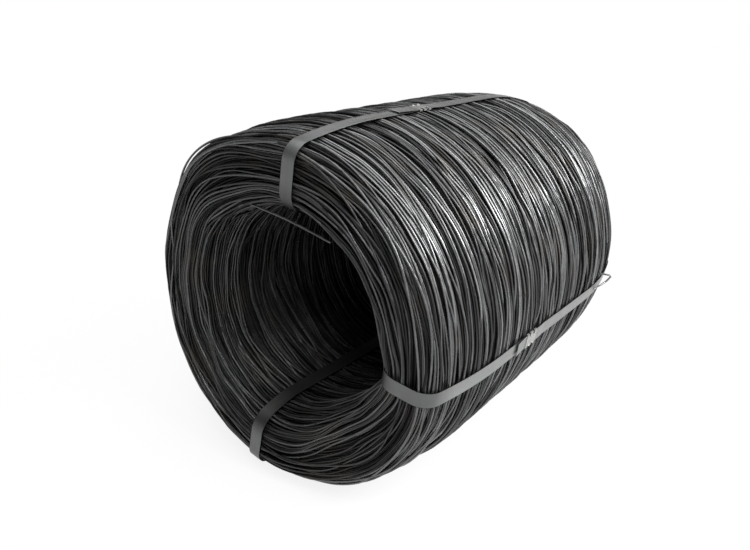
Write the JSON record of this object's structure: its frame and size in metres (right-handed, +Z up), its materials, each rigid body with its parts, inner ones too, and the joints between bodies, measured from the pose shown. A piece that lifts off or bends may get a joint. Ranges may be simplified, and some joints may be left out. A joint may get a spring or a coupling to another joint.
{
  "type": "coil of wire rod",
  "caption": "Strapped coil of black steel wire rod lying on its side, with an open eye through its middle; raw stock to be paid off into a wire machine.",
  "frame": {"origin": "on the floor under the middle of the coil", "axes": "+Y along the coil's axis from its front end to its rear, +Z up, +X to the right seen from the front"},
  "size_m": [0.8148, 1.0122, 0.8133],
  "materials": {
    "black_wire": "black oxide, semi-gloss",
    "strap_steel": "satin rolled steel strip",
    "seal_steel": "bright crimped steel"
  },
  "bodies": {
    "root": {"wire_coil": "black_wire", "strap_top": "strap_steel", "strap_right": "strap_steel", "strap_bottom": "strap_steel", "seal_top": "seal_steel", "seal_right": "seal_steel", "seal_bottom": "seal_steel"}
  },
  "joints": []
}
